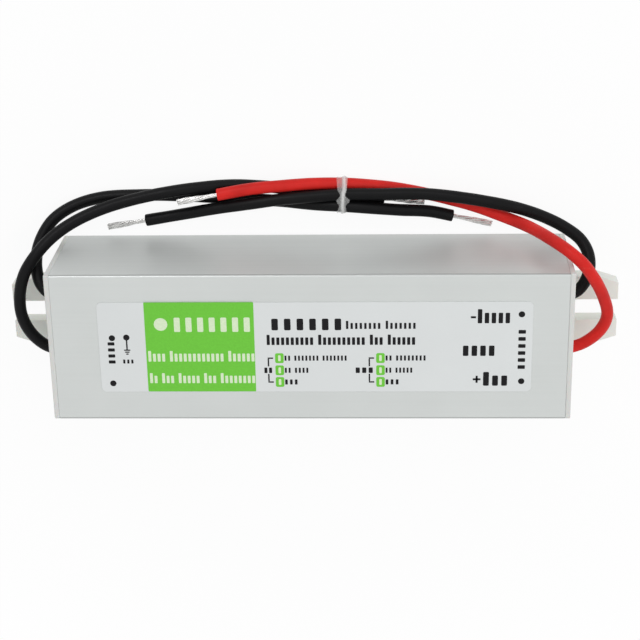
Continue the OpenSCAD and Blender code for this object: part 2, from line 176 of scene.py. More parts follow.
def grain(material, scale, detail=4.0, rough=0.55, stretch=(1, 1, 1)):
    """Noise with about that many grains to the metre, stretched along the object's axes."""
    place = add(material, "ShaderNodeMapping", {"Vector": here(material), "Scale": stretch})
    inputs = {"Vector": place.outputs["Vector"], "Scale": scale, "Detail": detail, "Roughness": rough}
    return add(material, "ShaderNodeTexNoise", inputs).outputs["Fac"]


def spread(material, value, low, high, start=NOISE_LOW, stop=NOISE_HIGH):
    """Value from start to stop mapped to low to high."""
    inputs = {"Value": value, "From Min": start, "From Max": stop, "To Min": low, "To Max": high}
    return add(material, "ShaderNodeMapRange", inputs).outputs["Result"]


def blend_colour(material, share, colour_a, colour_b):
    inputs = {MIX_SHARE: share, MIX_A: colour_a, MIX_B: colour_b}
    return add(material, "ShaderNodeMix", inputs, data_type="RGBA").outputs[MIX_RESULT]


def cloudy(material, colour, scale, dark, light, detail=3.0):
    """Colour that drifts between a darker and a lighter share of itself."""
    cloud = spread(material, grain(material, scale, detail), low=0, high=1)
    return blend_colour(material, cloud, rgba(colour, dark), rgba(colour, light))


def gloss(material, shader, pattern, low, high):
    """Roughness that follows a pattern from low to high."""
    feed(material, shader, {"Roughness": spread(material, pattern, low, high)})


def bump(material, shader, height, strength, depth_mm):
    inputs = {"Height": height, "Strength": strength, "Distance": depth_mm * MM}
    feed(material, shader, {"Normal": add(material, "ShaderNodeBump", inputs).outputs["Normal"]})


# Colours of what shows

HOUSING_COLOUR = (0.628, 0.652, 0.640)
CAP_COLOUR = (0.66, 0.665, 0.645)
# Cream tint of the thin ears, lightened with painted light
EAR_TINT_AND_PAINTED_LIGHT = (0.80, 0.82, 0.77)
LABEL_COLOUR = (0.72, 0.745, 0.745)
GREEN_INK = (0.17, 0.59, 0.058)
PALE_INK = (0.72, 0.85, 0.60)
BLACK_INK = (0.008, 0.008, 0.009)
BLACK_PVC = (0.005, 0.005, 0.0055)
BLACK_SCUFF = (0.05, 0.05, 0.05)
RED_PVC = (0.65, 0.022, 0.018)
RED_SCUFF = (0.66, 0.09, 0.07)
TIN_COLOUR = (0.72, 0.71, 0.70)
STRIP_COLOUR = (0.92, 0.92, 0.91)


# Aluminium of the tube

DRAW_LINES = (14, 1500, 1500)
STREAK_SHARE = 0.05
STREAK_TONE = 0.80
# Lines along the long upper edges: the side, and how far in from it they begin and are full; the dark ones
# are painted shade on the rounded edges
WORN_EDGE = (BACK, 0.45, 0.30)
PAINTED_SHADE_EDGES = ((BACK, 0.27, 0.19), (FRONT, 0.55, 0.49))
EDGE_DEEP = 0.7
# Share of the colour left in the painted shade on the long edges
EDGE_SHADE_TONE = 0.68
EDGE_ROUGH = 0.34


def edge_line(material, side, begin, full):
    """1 along a long upper edge of the tube, and 0 on the face beside it."""
    parts = add(material, "ShaderNodeSeparateXYZ", {0: here(material)}).outputs
    start, stop = [side * (TUBE_HALF - inset) * MM for inset in (begin, full)]
    outer = spread(material, parts["Y"], 0, 1, start, stop)
    low = (TUBE_TOP - EDGE_DEEP) * MM
    high = add(material, "ShaderNodeMath", {0: parts["Z"], 1: low}, operation="GREATER_THAN").outputs[0]
    return add(material, "ShaderNodeMath", {0: outer, 1: high}, operation="MULTIPLY").outputs[0]


def aluminium():
    """Satin aluminium with faint draw lines along the tube and painted shade along its long edges."""
    material, shader = new_material("satin_aluminium")
    lines = grain(material, scale=1.0, detail=5.0, stretch=DRAW_LINES)
    tint = cloudy(material, HOUSING_COLOUR, scale=45, dark=0.975, light=1.015)
    streak = spread(material, lines, low=0, high=STREAK_SHARE)
    tint = blend_colour(material, streak, tint, rgba(HOUSING_COLOUR, STREAK_TONE))
    # Painted shade: the long rounded edges darkened in the colour
    for edge in PAINTED_SHADE_EDGES:
        tint = blend_colour(material, edge_line(material, *edge), tint, rgba(HOUSING_COLOUR, EDGE_SHADE_TONE))
    feed(material, shader, {"Base Color": tint, "Metallic": 0.45})
    rough = spread(material, lines, low=0.40, high=0.50)
    worn = edge_line(material, *WORN_EDGE)
    feed(material, shader, {"Roughness": spread(material, worn, rough, EDGE_ROUGH, 0, 1)})
    bump(material, shader, lines, strength=0.12, depth_mm=0.01)
    return material


# Plastic of the caps

EAR_TOP = 4.5
EAR_FADE = 3.0


def cap_plastic():
    """Moulded plastic; the thin ears are paler, with their own cream tint and painted light standing in for
    the floor light that shines into them.
    """
    material, shader = new_material("cap_plastic")
    fine = grain(material, scale=2600, detail=2.0)
    height = add(material, "ShaderNodeSeparateXYZ", {0: here(material)}).outputs["Z"]
    thin = spread(material, height, 1, 0, EAR_TOP * MM, (EAR_TOP + EAR_FADE) * MM)
    tint = cloudy(material, CAP_COLOUR, scale=70, dark=0.97, light=1.03)
    # Painted light: the thin ears made paler on top of their own cream tint
    tint = blend_colour(material, thin, tint, rgba(EAR_TINT_AND_PAINTED_LIGHT))
    feed(material, shader, {"Base Color": tint, "Subsurface Weight": 0.08, "Subsurface Scale": 0.001})
    gloss(material, shader, fine, low=0.42, high=0.58)
    bump(material, shader, fine, strength=0.2, depth_mm=0.02)
    return material


# Film and inks of the sticker

def label_film():
    material, shader = new_material("label_film")
    fine = grain(material, scale=1800, detail=3.0)
    tint = cloudy(material, LABEL_COLOUR, scale=60, dark=0.985, light=1.015)
    feed(material, shader, {"Base Color": tint, "Coat Weight": 0.15, "Coat Roughness": 0.3})
    gloss(material, shader, fine, low=0.38, high=0.5)
    bump(material, shader, fine, strength=0.12, depth_mm=0.01)
    return material


def ink(name, colour):
    """Printed ink, matt, with a faint screen grain."""
    material, shader = new_material(name)
    fine = grain(material, scale=3500, detail=2.0)
    tint = cloudy(material, colour, scale=3500, dark=0.94, light=1.06, detail=2.0)
    feed(material, shader, {"Base Color": tint, "Specular IOR Level": 0.15})
    gloss(material, shader, fine, low=0.5, high=0.62)
    return material


# Insulation and bare ends of the leads

SCUFF_LAY = (0.35, 1, 1)
SCUFF_SHARE = 0.35
SCUFF_FROM, SCUFF_TO = 0.62, 0.8


def insulation(name, colour, worn):
    """Soft PVC with a satin skin, faint scuffs and slight unevenness."""
    material, shader = new_material(name)
    fine = grain(material, scale=2200, detail=4.0)
    scuffs = grain(material, scale=520, detail=5.0, rough=0.7, stretch=SCUFF_LAY)
    scuffed = spread(material, scuffs, 0, SCUFF_SHARE, SCUFF_FROM, SCUFF_TO)
    tint = cloudy(material, colour, scale=140, dark=0.85, light=1.12)
    tint = blend_colour(material, scuffed, tint, rgba(worn))
    feed(material, shader, {"Base Color": tint, "Specular IOR Level": 0.12})
    gloss(material, shader, fine, low=0.36, high=0.5)
    bump(material, shader, fine, strength=0.18, depth_mm=0.02)
    return material


def tinned():
    material, shader = new_material("tinned_copper")
    tint = cloudy(material, TIN_COLOUR, scale=500, dark=0.8, light=1.15, detail=4.0)
    feed(material, shader, {"Base Color": tint, "Metallic": 1.0})
    gloss(material, shader, grain(material, scale=500), low=0.16, high=0.32)
    bump(material, shader, grain(material, scale=1500), strength=0.12, depth_mm=0.02)
    return material


# Clear film of the tie

GATHERED = "gathered"
FILM_SOLID, CORE_SOLID = 0.14, 0.60


def clear_strip():
    """Thin clear film, whiter where it is gathered into many layers."""
    material, shader = new_material("clear_strip")
    fine = grain(material, scale=900, detail=3.0)
    layers = add(material, "ShaderNodeAttribute", attribute_name=GATHERED).outputs["Fac"]
    tint = cloudy(material, STRIP_COLOUR, scale=900, dark=0.92, light=1.05)
    solid = spread(material, layers, FILM_SOLID, CORE_SOLID, 0, 1)
    feed(material, shader, {"Base Color": tint, "Alpha": solid, "IOR": 1.48})
    gloss(material, shader, fine, low=0.16, high=0.34)
    bump(material, shader, fine, strength=0.3, depth_mm=0.05)
    return material


# Leads: from the board out through the cap, then along the route's points

LEAD_D = 2.9
LEAD_SIDES = 28
PATH_STEP = 0.5
SKIN_SCALE, SKIN_WAVE = 0.25, 0.03
HOLE_D = 1.2
STRIP_L = 10.0
CUT_EDGE = 0.15
CUT_ROUND = 0.3 * CUT_EDGE
CUT_DEPTH = 0.6
TIE_X = 7.5
LAND_X, LAND_Z = 47, 9.25
LEVEL_X = 56
OUTSIDE_X = 61.5
EXIT_Y, EXIT_Z = 7, 12


def lead_root(end, side):
    """From the solder land on the board, up to the cap's hole and straight out through it."""
    y = side * EXIT_Y
    return [(end * LAND_X, y, LAND_Z), (end * LEVEL_X, y, EXIT_Z), (end * OUTSIDE_X, y, EXIT_Z)]


ROUTES = {
    "input_lead_a": lead_root(INPUT, BACK) + [
        (-63.8, 7.7, 11.8), (-65.7, 9.8, 11.2), (-66.7, 13, 9.7), (-66.7, 16.6, 7.4), (-65.4, 20.2, 5.6),
        (-62.8, 23.7, 4), (-58, 26.6, 2.5), (-51, 28.5, 1.7), (-42, 29, 1.6), (-33, 28.9, 1.6),
        (-24, 28.4, 1.6), (-15, 28, 2), (-7.5, 27.6, 2.5), (0, 27.1, 3.5), (TIE_X, 26.9, 4.5),
        (14, 26.4, 4.5), (21, 25.6, 3.7), (28.5, 24.8, 2.5), (34, 23.5, 2)],
    "input_lead_b": lead_root(INPUT, FRONT) + [
        (-65, -6, 12.5), (-68.5, -2.5, 13), (-70.4, 2.5, 13.5), (-70.4, 8, 13.5), (-69, 13, 13),
        (-66, 17.5, 12), (-62, 21.4, 10), (-56.5, 24.7, 8), (-49.5, 27.3, 6), (-42, 29.2, 5),
        (-35, 30.6, 4.7), (-28, 31.3, 3.6), (-19.5, 31.5, 2), (-11, 31, 1.6), (-2, 29.9, 1.7),
        (TIE_X, 28.9, 2.2), (12.5, 28.3, 1.9), (17.5, 27.8, 1.6)],
    "output_lead_negative": lead_root(OUTPUT, BACK) + [
        (63.6, 7.8, 11.9), (65.3, 9.8, 11.4), (66.4, 12.7, 10.1), (66.2, 15.9, 8.3), (64.5, 18.8, 6.7),
        (61, 21.4, 5.6), (56.3, 23.8, 5), (50, 26.3, 5.5), (43, 28.1, 6), (35, 29.3, 5.5), (27, 30, 5),
        (17, 30, 5), (TIE_X, 30, 5.1), (0, 29.6, 5.5), (-7.5, 29, 5.7), (-15, 27.8, 5.3), (-23, 26.3, 4),
        (-32, 24.2, 2.2), (-40.5, 22.6, 1.7)],
    "output_lead_positive": lead_root(OUTPUT, FRONT) + [
        (65.5, -5.5, 12.5), (69.1, -1.6, 14), (70.4, 3, 15.8), (68.8, 9.1, 18.4), (65.1, 16.2, 21.9),
        (62.8, 19.2, 23), (60, 21.5, 22.2), (56.2, 22.9, 17.6), (51.9, 23.3, 10.3), (46.5, 24, 4.9),
        (39, 26.1, 2.3), (30, 28.4, 1.6), (21, 30.3, 1.6), (14, 31.3, 2), (TIE_X, 31.9, 2.5),
        (0, 32.2, 3.5), (-8, 32, 4.7), (-15, 31.5, 5.3), (-22.5, 30.2, 5.5)],
}
TIPS = {
    "input_lead_a": "input_tip_a",
    "input_lead_b": "input_tip_b",
    "output_lead_negative": "output_tip_negative",
    "output_lead_positive": "output_tip_positive",
}


def between(p0, p1, p2, p3, share):
    """Point between p1 and p2 on the centripetal curve through all four."""
    t1 = (p1 - p0).length ** 0.5
    t2 = t1 + (p2 - p1).length ** 0.5
    t3 = t2 + (p3 - p2).length ** 0.5
    t = t1 + share * (t2 - t1)
    a1 = p0.lerp(p1, t / t1)
    a2 = p1.lerp(p2, (t - t1) / (t2 - t1))
    a3 = p2.lerp(p3, (t - t2) / (t3 - t2))
    b1 = a1.lerp(a2, t / t2)
    b2 = a2.lerp(a3, (t - t1) / (t3 - t1))
    return b1.lerp(b2, (t - t1) / (t2 - t1))


def smooth_path(points, step):
    """Even curve through the points, which keeps each of them."""
    points = [Vector(p) for p in points]
    points = [2 * points[0] - points[1], *points, 2 * points[-1] - points[-2]]
    path = [points[1]]
    for p0, p1, p2, p3 in zip(points, points[1:], points[2:], points[3:]):
        count = max(2, round((p2 - p1).length / step))
        path += [between(p0, p1, p2, p3, k / count) for k in range(1, count + 1)]
    return path


def frames_along(path):
    """Heading and two cross directions at each point, carried along without twist."""
    headings = [(b - a).normalized() for a, b in zip([path[0], *path], [*path[1:], path[-1]])]
    side = headings[0].orthogonal().normalized()
    frames = []
    for before, ahead in zip([headings[0], *headings], headings):
        side = before.rotation_difference(ahead) @ side
        side = (side - side.dot(ahead) * ahead).normalized()
        frames.append((ahead, side, ahead.cross(side)))
    return frames


def loft(rings):
    """Closed tube through rings of equal count, with both ends filled."""
    sides = len(rings[0])
    verts = [p for ring in rings for p in ring]
    faces = []
    for i in range(len(rings) - 1):
        for k in range(sides):
            a = i * sides + k
            b = i * sides + (k + 1) % sides
            faces.append((a, b, b + sides, a + sides))
    faces.append(tuple(range(sides - 1, -1, -1)))
    last = (len(rings) - 1) * sides
    faces.append(tuple(last + k for k in range(sides)))
    return verts, faces


def ring(centre, side, up, radius, sides):
    return [centre + radius * (math.cos(t) * side + math.sin(t) * up) for t in full_turn(sides)]


def lead_rings(path):
    """Rings of the insulation, slightly uneven, with its cut end hollow round the conductor."""
    frames = frames_along(path)
    rings = []
    for point, (_, side, up) in zip(path[:-1], frames):
        radius = LEAD_D / 2 + wobble(point, SKIN_SCALE, SKIN_WAVE)
        rings.append(ring(point, side, up, radius, LEAD_SIDES))
    ahead, side, up = frames[-1]
    outer, hole = LEAD_D / 2, HOLE_D / 2
    cut = [(-CUT_EDGE, outer), (-CUT_ROUND, outer - CUT_ROUND), (0, outer - CUT_EDGE),
           (0, hole + CUT_EDGE), (-CUT_EDGE, hole), (-CUT_DEPTH, hole)]
    rings += [ring(path[-1] + along * ahead, side, up, radius, LEAD_SIDES) for along, radius in cut]
    return rings


# Bare ends: strands that are loose at the insulation, and flat and filled with solder at the end

STRANDS = 6
STRAND_R = 0.18
STRAND_REACH = 0.33
STRAND_SIDES = 12
STRAND_LAY = 17.0
STRAND_UNEVEN = 0.3
STRAY_SHARE, STRAY_WAVES = 0.12, 4
DIPPED_R = 0.05
DIPPED_REACH = 0.24
DIPPED_FLAT = 0.70
DIP_FROM, DIP_TO = 0.25, 0.70
SOLDER_CORE, SOLDER_FILL = 0.5, 0.6
SOLDER_SHORT = 0.35
SOLDER_TAPER, TAPER_FROM = 0.25, 0.96
TIP_STEPS = 40
TIP_SMOOTH_DEG = 60


def dipped(share):
    """0 on the bare strands at the insulation, 1 on the flat end that was dipped in solder."""
    return eased(min(1.0, max(0.0, (share - DIP_FROM) / (DIP_TO - DIP_FROM))))


def tip_point(base, along, reach, turn, wet):
    """Point along the tip and out from its middle, at a turn that is flattened where it was dipped."""
    start, ahead, side, up = base
    flat = 1 - (1 - DIPPED_FLAT) * wet
    return start + along * ahead + reach * (math.cos(turn) * side + flat * math.sin(turn) * up)


def strand_rings(base, phase, reach_share):
    """One strand of the tip, laid round the middle in a slow turn, with a rounded end."""
    start, ahead, side, up = base
    full = STRIP_L + CUT_DEPTH - STRAND_UNEVEN * (1 + wobble((phase, start.x, start.y), scale=1, size=1))
    rings = []
    for i in range(TIP_STEPS + 1):
        share = i / TIP_STEPS
        wet = dipped(share)
        turn = phase + 2 * math.pi * full * share / STRAND_LAY
        reach = reach_share * (STRAND_REACH + DIPPED_REACH * wet)
        reach *= 1 + wobble((STRAY_WAVES * share, phase, start.x), scale=1, size=STRAY_SHARE)
        centre = tip_point(base, full * share, reach, turn, wet)
        rings.append(ring(centre, side, up, STRAND_R + DIPPED_R * wet, STRAND_SIDES))
    rings.append([p.lerp(centre + STRAND_R / 2 * ahead, 0.5) for p in rings[-1]])
    return rings


def solder_rings(base):
    """Solder that fills the strands towards the end."""
    rings = []
    for i in range(TIP_STEPS + 1):
        share = i / TIP_STEPS
        wet = dipped(share)
        reach = SOLDER_CORE * STRAND_REACH + (DIPPED_REACH + SOLDER_FILL * STRAND_REACH) * wet
        reach *= 1 - SOLDER_TAPER * max(0.0, share - TAPER_FROM) / (1 - TAPER_FROM)
        along = (STRIP_L + CUT_DEPTH - SOLDER_SHORT) * share
        rings.append([tip_point(base, along, reach, turn, wet) for turn in full_turn(LEAD_SIDES)])
    return rings


def make_tip(name, path, material):
    """Bare end of a lead: strands round a middle one, and the solder between them."""
    ahead = (path[-1] - path[-2]).normalized()
    side = ahead.cross(Vector((0, 0, 1))).normalized()
    base = (path[-1] - CUT_DEPTH * ahead, ahead, side, side.cross(ahead))
    parts = [loft(strand_rings(base, phase, reach_share=1)) for phase in full_turn(STRANDS)]
    parts.append(loft(strand_rings(base, phase=0, reach_share=0)))
    parts.append(loft(solder_rings(base)))
    verts, faces = join(parts)
    piece = new_piece("tip_" + name, verts, faces, material, TIP_SMOOTH_DEG)
    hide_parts(name)
    return piece


def make_leads(black, red, tin, tie):
    for node, points in ROUTES.items():
        path = smooth_path(points, PATH_STEP)
        is_red = node == "output_lead_positive"
        verts, faces = loft(lead_rings(path))
        piece = new_piece("wire_" + node, verts, faces, red if is_red else black)
        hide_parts(node)
        tip = make_tip(TIPS[node], path, tin)


# Tie: a clear strip wound round the four leads, gathered and twisted

TIE_PLAY = 0.12
TIE_STEPS = 180
OUTLINE_STEPS = 4 * TIE_STEPS
TIE_ACROSS = 20
TIE_THICK = 0.1
TIE_SMOOTH_DEG = 80
TIE_FOLDS = 2.5
FOLD_DEPTH = 0.06
FOLD_LOOSE = 0.6
FOLD_WANDER, WANDER_AT = 2, 3.0
CORE_HALF = 0.38
CORE_LIFT = 0.12
TINY = 1e-9
# Across the bundle from far to near: place, left edge, right edge and middle of the gathered part
TIE_SHAPE = (
    (33.6, -1.4, 1.3, 0.4),
    (31.6, -1.2, 1.1, 0.45),
    (30.3, -0.5, 0.7, 0.2),
    (28.9, -1.4, 1.8, 0.1),
    (27.5, -0.8, 0.8, 0.0),
    (25.6, -1.4, 1.0, 0.1),
)


def tie_shape(y):
    """Left edge, right edge and middle of the gathered part at that place across the bundle."""
    y = min(max(y, TIE_SHAPE[-1][0]), TIE_SHAPE[0][0])
    for (far, *a), (near, *b) in zip(TIE_SHAPE, TIE_SHAPE[1:]):
        if y >= near:
            share = eased((far - y) / (far - near))
            return [p + share * (q - p) for p, q in zip(a, b)]


def bundle_centres():
    """Places of the four leads across the tie."""
    return [Vector((p[1], p[2])) for route in ROUTES.values() for p in route if p[0] == TIE_X]


def tie_outline(reach):
    """Tight outline round the leads at that reach, as even steps of place and outward direction."""
    centres = bundle_centres()
    closed = []
    for turn in full_turn(OUTLINE_STEPS):
        out = Vector((math.cos(turn), math.sin(turn)))
        closed.append(max(centres, key=out.dot) + reach * out)
    closed.append(closed[0])
    marks = [0.0]
    for a, b in zip(closed, closed[1:]):
        marks.append(marks[-1] + (b - a).length)
    steps, j = [], 0
    for k in range(TIE_STEPS):
        goal = marks[-1] * k / TIE_STEPS
        while marks[j + 1] < goal:
            j += 1
        share = (goal - marks[j]) / max(TINY, marks[j + 1] - marks[j])
        along = (closed[j + 1] - closed[j]).normalized()
        steps.append((closed[j].lerp(closed[j + 1], share), Vector((along.y, -along.x))))
    return steps


def tie_strip():
    """Rows across the strip, with creases along it, and how gathered each point is."""
    verts, faces, gathered = [], [], []
    across = TIE_ACROSS + 1
    for spot, out in tie_outline(LEAD_D / 2 + TIE_PLAY):
        left, right, middle = tie_shape(spot.x)
        wander = wobble((spot.x, spot.y, WANDER_AT), scale=1, size=FOLD_WANDER)
        for j in range(across):
            share = j / TIE_ACROSS
            x = left + share * (right - left)
            folds = 2 * math.pi * TIE_FOLDS * share + wander
            core = math.exp(-((x - middle) / CORE_HALF) ** 2)
            lift = FOLD_DEPTH * (1 + math.cos(folds)) * (FOLD_LOOSE + core) + CORE_LIFT * core
            point = spot + lift * out
            verts.append((TIE_X + x, point.x, point.y))
            gathered.append(core)
    for k in range(TIE_STEPS):
        for j in range(TIE_ACROSS):
            a = k * across + j
            b = (k + 1) % TIE_STEPS * across + j
            faces.append((a, b, b + 1, a + 1))
    return verts, faces, gathered


def make_tie(material):
    verts, faces, gathered = tie_strip()
    piece = new_piece("clear_tie", verts, faces, material, TIE_SMOOTH_DEG)
    piece.data.attributes.new(GATHERED, "FLOAT", "POINT").data.foreach_set("value", gathered)
    wall = piece.modifiers.new("wall", "SOLIDIFY")
    wall.thickness = TIE_THICK * MM
    wall.offset = 1
    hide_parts("bundle_tie")
    return piece


# Housing, caps and sticker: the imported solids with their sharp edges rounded

SHARP_DEG = 25
FLAT_DEG = 0.5
WELD_M = 1e-6
NEAR = 0.01
# Rounding of the edges: width and segments
TUBE_ROUND = (0.12, 2)
CAP_ROUND = (0.2, 3)
LABEL_ROUND = (0.05, 1)


def softened(node, name, rounding, material, wanted):
    """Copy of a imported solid, with the sharp edges that are wanted rounded."""
    width, segments = rounding
    work = bmesh.new()
    work.from_mesh(NODES[node].data)
    bmesh.ops.remove_doubles(work, verts=work.verts, dist=WELD_M)
    bmesh.ops.dissolve_limit(work, angle_limit=math.radians(FLAT_DEG), verts=work.verts, edges=work.edges)
    edges = [e for e in work.edges if len(e.link_faces) == 2
             and e.calc_face_angle() > math.radians(SHARP_DEG)
             and all(wanted(v.co / MM) for v in e.verts)]
    bmesh.ops.bevel(work, geom=edges, offset=width * MM, offset_type="OFFSET", segments=segments,
                    profile=0.5, affect="EDGES", clamp_overlap=False)
    mesh = bpy.data.meshes.new(name)
    work.to_mesh(mesh)
    work.free()
    piece = finish_piece(name, mesh, material)
    shading = piece.modifiers.new("flat_faces", "WEIGHTED_NORMAL")
    shading.keep_sharp = True
    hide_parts(node)
    return piece


def at_tube_end(place):
    return abs(abs(place.x) - END_X) < NEAR


def outside_tube(place):
    return abs(place.x) > END_X - NEAR


def on_sticker_top(place):
    return abs(place.z - STICKER_Z) < NEAR


def make_case(metal, plastic, film):
    softened("housing", "tube", TUBE_ROUND, metal, at_tube_end)
    for node in ("input_end_cap", "output_end_cap"):
        softened(node, "moulded_" + node, CAP_ROUND, plastic, outside_tube)
    softened("rating_label", "sticker", LABEL_ROUND, film, on_sticker_top)


# Outlines of the print: bars and dots, and rows of words with one plain bar to a letter

INK_T = 0.025
INK_SMOOTH_DEG = 30
CORNER_STEPS = 4
WORD_GAP = 0.7
BOLD_GAP = 0.36
FINE_GAP = 0.48
FIRST_RISE = 0.35
MARK_CORNER = 0.2
DOT_SIDE = 0.01


def rounded(x, y, w, h, r):
    """Outline of a rounded bar about x and y."""
    points = []
    for quarter, (sx, sy) in enumerate(((1, 1), (-1, 1), (-1, -1), (1, -1))):
        cx, cy = x + sx * (w / 2 - r), y + sy * (h / 2 - r)
        for k in range(CORNER_STEPS + 1):
            turn = math.pi / 2 * (quarter + k / CORNER_STEPS)
            points.append((cx + r * math.cos(turn), cy + r * math.sin(turn)))
    return points


def dot(x, y, d):
    """Round dot, with sides just long enough to keep its points apart."""
    return rounded(x, y, d, d, d / 2 - DOT_SIDE)


def marks_along(start, length, counts, gap):
    """Middle of each letter's mark in a row of words, whether it begins a word, and the marks' width."""
    pitch = length / (sum(counts) + WORD_GAP * (len(counts) - 1) - gap)
    marks = []
    for count in counts:
        marks += [(start + pitch * (k + 0.5 - gap / 2), k == 0) for k in range(count)]
        start += pitch * (count + WORD_GAP)
    return marks, pitch * (1 - gap)


def words(x, y, h, length, counts, gap=BOLD_GAP, rise=0.0):
    """Row of words from x rightwards, with the first mark of each word taller."""
    marks, width = marks_along(x, length, counts, gap)
    corner = MARK_CORNER * min(width, h)
    row = []
    for middle, first in marks:
        extra = rise * h if first else 0.0
        row.append(rounded(middle, y + extra / 2, width, h + extra, corner))
    return row


def words_up(x, y, h, length, counts, gap=FINE_GAP):
    """Column of words from y upwards."""
    marks, width = marks_along(y, length, counts, gap)
    return [rounded(x, middle, h, width, MARK_CORNER * min(width, h)) for middle, _ in marks]


def slab(outline, low, high):
    verts = [(x, y, low) for x, y in outline] + [(x, y, high) for x, y in outline]
    n = len(outline)
    faces = [tuple(range(n - 1, -1, -1)), tuple(range(n, 2 * n))]
    faces += [(k, (k + 1) % n, n + (k + 1) % n, n + k) for k in range(n)]
    return verts, faces


def printed(name, outlines, material, layer):
    """All the shapes of one ink, as thin closed slabs."""
    low = STICKER_Z - INK_T
    high = STICKER_Z + layer * INK_T
    verts, faces = join([slab(outline, low, high) for outline in outlines])
    return new_piece(name, verts, faces, material, INK_SMOOTH_DEG)


# Places of the print on the sticker

LINE_W = 0.34
LINE_CORNER = 0.1
# Field and bars: middle across and up, width, height and corner
GREEN_FIELD = (-25.5, 0.38, 25.5, 22.6, 0.2)
MINUS_SIGN = ((38.0, 7.8, 1.2, 0.5, LINE_CORNER),)
PLUS_SIGN = ((39.0, -7.85, 1.8, 0.5, LINE_CORNER), (39.0, -7.85, 0.5, 1.8, LINE_CORNER))
# Rows of words: left end, middle, height, length, letters in each word, gap and rise of the first mark
BLACK_ROWS = (
    (-8.7, 6.1, 2.9, 16.2, (6,), FINE_GAP),
    (8.6, 5.7, 1.5, 16.1, (8, 7), FINE_GAP, FIRST_RISE),
    (-9.9, 1.9, 1.9, 34.5, (10, 10, 3, 6), BOLD_GAP, FIRST_RISE),
    (39.0, 7.6, 2.6, 7.4, (5,), BOLD_GAP, FIRST_RISE),
    (40.5, -8.2, 2.6, 5.6, (3,), BOLD_GAP, FIRST_RISE),
    (35.7, -0.6, 2.6, 7.3, (4,)),
    (-43.8, -3.2, 1.0, 2.4, (3,), FINE_GAP),
)
PALE_ROWS = (
    (-31.4, 6.1, 3.6, 17.7, (7,), FINE_GAP),
    (-37.8, -2.2, 2.0, 24.9, (4, 12, 6), BOLD_GAP, FIRST_RISE),
    (-37.7, -7.8, 1.9, 24.8, (2, 3, 5, 3, 8), BOLD_GAP, FIRST_RISE),
)
# Columns of words: middle, lower end, height, length and letters
BLACK_COLUMNS = ((49.3, -5.2, 1.7, 9.8, (6,)), (-46.4, -3.7, 1.6, 5.4, (4,)))
DOTS = ((49.1, 8.5), (49.4, -8.35), (-46.5, -8.8), (-46.1, 2.75), (-42.7, 2.9))
DOT_D = 1.5
PALE_DISC = (-34.5, 6.2, 3.2)
# Each table: middle of its boxes, then the length and the letters of its heading and of its rows
TABLES = {
    -7.05: ((1.8, (2,)), ((14.5, (2, 7, 7)), (5.5, (2, 4)), (2.9, (3,)))),
    16.55: ((4.0, (3,)), ((9.3, (2, 8)), (6.2, (2, 5)), (3.0, (3,)))),
}
TABLE_ROWS = (-2.4, -5.5, -8.5)
ROW_IN, ROW_H = 1.2, 1.3
BOX_SIZE = (2.0, 2.5, 0.4)
WINDOW_SIZE = (0.6, 1.5, 0.2)
STEM_LEFT, STEM_L = 2.6, 1.9
STEM_REACH = 1.15
ARM_IN, ARM_L = 0.5, 1.3
HEADING_IN, HEADING_H = 0.8, 1.4
EARTH_TOP = (-42.7, 2.2)
EARTH_STEM = 2.4
EARTH_BARS = 3
BAR_DOWN, BAR_STEP = 2.5, 0.5
BAR_L, BAR_LESS, BAR_W = 1.5, 0.45, 0.3


def bracket(x, length, counts):
    """Open bracket that groups a table's rows, with the heading in its opening."""
    top, middle, low = TABLE_ROWS
    shapes = [rounded(x + ARM_IN, y, ARM_L, LINE_W, LINE_CORNER) for y in (top, low)]
    shapes += [rounded(x, y, LINE_W, STEM_L, LINE_CORNER) for y in (top - STEM_REACH, low + STEM_REACH)]
    shapes += words(x + HEADING_IN - length, middle, HEADING_H, length, counts)
    return shapes


def table(x, heading, rows):
    shapes = bracket(x - STEM_LEFT, *heading)
    for y, (length, counts) in zip(TABLE_ROWS, rows):
        shapes += words(x + ROW_IN, y, ROW_H, length, counts, FINE_GAP)
    return shapes


def earth_mark(x, y):
    """Stem with three shorter and shorter bars."""
    shapes = [rounded(x, y - EARTH_STEM / 2, LINE_W, EARTH_STEM, LINE_CORNER)]
    for k in range(EARTH_BARS):
        down = BAR_DOWN + BAR_STEP * k
        shapes.append(rounded(x, y - down, BAR_L - BAR_LESS * k, BAR_W, LINE_CORNER))
    return shapes


def table_boxes(size):
    return [rounded(x, y, *size) for x in TABLES for y in TABLE_ROWS]


def black_print():
    shapes = [dot(x, y, DOT_D) for x, y in DOTS]
    shapes += [rounded(*bar) for bar in MINUS_SIGN + PLUS_SIGN]
    for row in BLACK_ROWS:
        shapes += words(*row)
    for column in BLACK_COLUMNS:
        shapes += words_up(*column)
    for x, (heading, rows) in TABLES.items():
        shapes += table(x, heading, rows)
    return shapes + earth_mark(*EARTH_TOP)


def green_print():
    return [rounded(*GREEN_FIELD)] + table_boxes(BOX_SIZE)


def pale_print():
    shapes = [dot(*PALE_DISC)]
    for row in PALE_ROWS:
        shapes += words(*row)
    return shapes + table_boxes(WINDOW_SIZE)


def make_print():
    printed("print_green", green_print(), ink("green_ink", GREEN_INK), layer=1)
    printed("print_pale", pale_print(), ink("pale_ink", PALE_INK), layer=2)
    printed("print_black", black_print(), ink("black_ink", BLACK_INK), layer=1)


# Circuit inside the closed tube: each solid keeps its form and gets its own material

TINT_SHIFT = 0.06
GLOSS_SHIFT = 0.06
